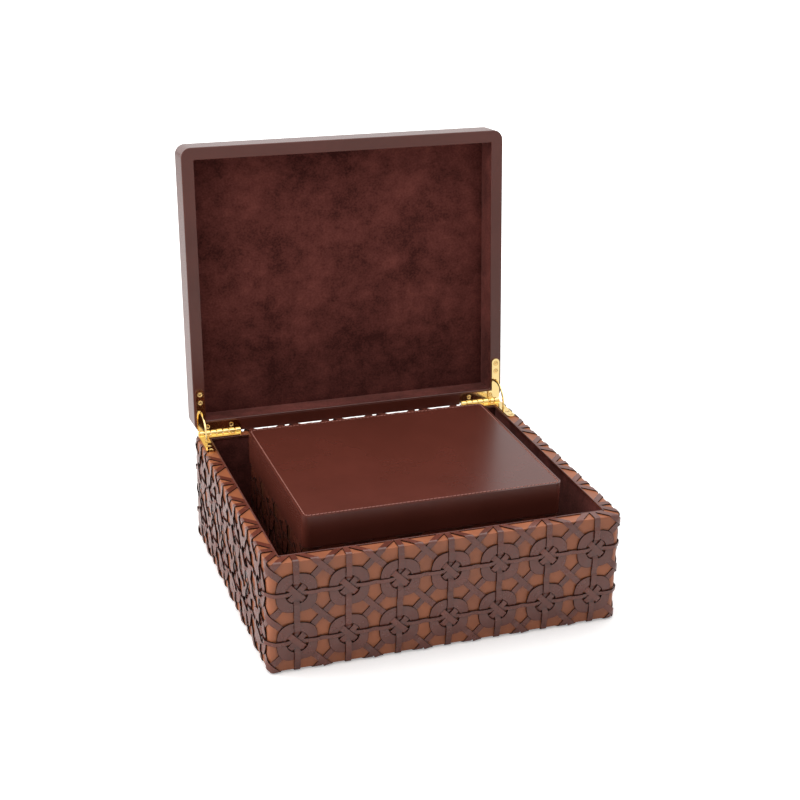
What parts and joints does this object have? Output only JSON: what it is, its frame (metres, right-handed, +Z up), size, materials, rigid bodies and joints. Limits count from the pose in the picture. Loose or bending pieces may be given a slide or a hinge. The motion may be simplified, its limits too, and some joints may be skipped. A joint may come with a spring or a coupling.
{
  "type": "hinged jewellery box with a lift-out inner box",
  "caption": "Leather box with a woven strap lattice, a lid on brass stop hinges with curved stays, and a smaller lidded box that lifts out of the suede-lined well.",
  "frame": {"origin": "centre of the felt underside, on the surface that the box stands on", "axes": "+X along the front to its right seen from in front, +Y to the back where the hinges are, +Z up"},
  "size_m": [0.3084, 0.3179, 0.3564],
  "materials": {
    "board": "raw wood fibre board, hidden under the leather and suede",
    "tan_leather": "smooth semi-matt vegetable leather",
    "strap_leather": "polished dark calf leather",
    "dark_leather": "smooth semi-gloss dark calf leather",
    "suede": "matt mottled suede",
    "felt": "matt felt",
    "brass": "polished brass"
  },
  "bodies": {
    "base": {"base_front_board": "board", "base_back_board": "board", "base_left_board": "board", "base_right_board": "board", "base_bottom_board": "board", "base_leather_cover": "tan_leather", "base_wall_lining": "suede", "base_floor_lining": "suede", "base_underside_felt": "felt", "lattice_rings": "strap_leather", "lattice_upright_straps": "strap_leather", "lattice_level_straps": "strap_leather", "lattice_rising_straps": "strap_leather", "lattice_falling_straps": "strap_leather", "hinge_base_leaves": "brass", "hinge_base_screws": "brass", "hinge_pins": "brass"},
    "lid": {"lid_front_board": "board", "lid_back_board": "board", "lid_left_board": "board", "lid_right_board": "board", "lid_top_panel": "board", "lid_leather_cover": "dark_leather", "lid_wall_lining": "suede", "lid_panel_lining": "suede", "lid_back_rim_strip": "dark_leather", "hinge_lid_leaves": "brass", "hinge_lid_screws": "brass"},
    "left_stay": {"left_stay": "brass"},
    "right_stay": {"right_stay": "brass"},
    "inner_box": {"inner_box_front_board": "board", "inner_box_back_board": "board", "inner_box_left_board": "board", "inner_box_right_board": "board", "inner_box_bottom_board": "board", "inner_box_leather_cover": "tan_leather", "inner_box_liner": "suede", "inner_box_floor_lining": "suede", "inner_box_underside_felt": "felt", "inner_box_upright_straps": "strap_leather", "inner_box_level_straps": "strap_leather"},
    "inner_lid": {"inner_lid_front_board": "board", "inner_lid_back_board": "board", "inner_lid_left_board": "board", "inner_lid_right_board": "board", "inner_lid_top_board": "board", "inner_lid_leather_cover": "dark_leather", "inner_lid_wall_lining": "suede", "inner_lid_panel_lining": "suede"}
  },
  "joints": [
    {"name": "lid", "type": "hinge", "parent": "base", "child": "lid", "pos_m": [0, 0.12925, 0.0992], "axis": [1, 0, 0], "range_deg": [0, 95.2]},
    {"name": "left_stay", "type": "hinge", "parent": "base", "child": "left_stay", "pos_m": [0, 0.12925, 0.0992], "axis": [1, 0, 0], "range_deg": [0, 47.6]},
    {"name": "right_stay", "type": "hinge", "parent": "base", "child": "right_stay", "pos_m": [0, 0.12925, 0.0992], "axis": [1, 0, 0], "range_deg": [0, 47.6]},
    {"name": "inner_box", "type": "slide", "parent": "base", "child": "inner_box", "axis": [0, 0, 1], "range_m": [0, 0.13]},
    {"name": "inner_lid", "type": "slide", "parent": "inner_box", "child": "inner_lid", "axis": [0, 0, 1], "range_m": [0, 0.06]}
  ],
  "couplings": [
    {"joint": "left_stay", "follows": "lid", "ratio": 0.5},
    {"joint": "right_stay", "follows": "lid", "ratio": 0.5}
  ]
}
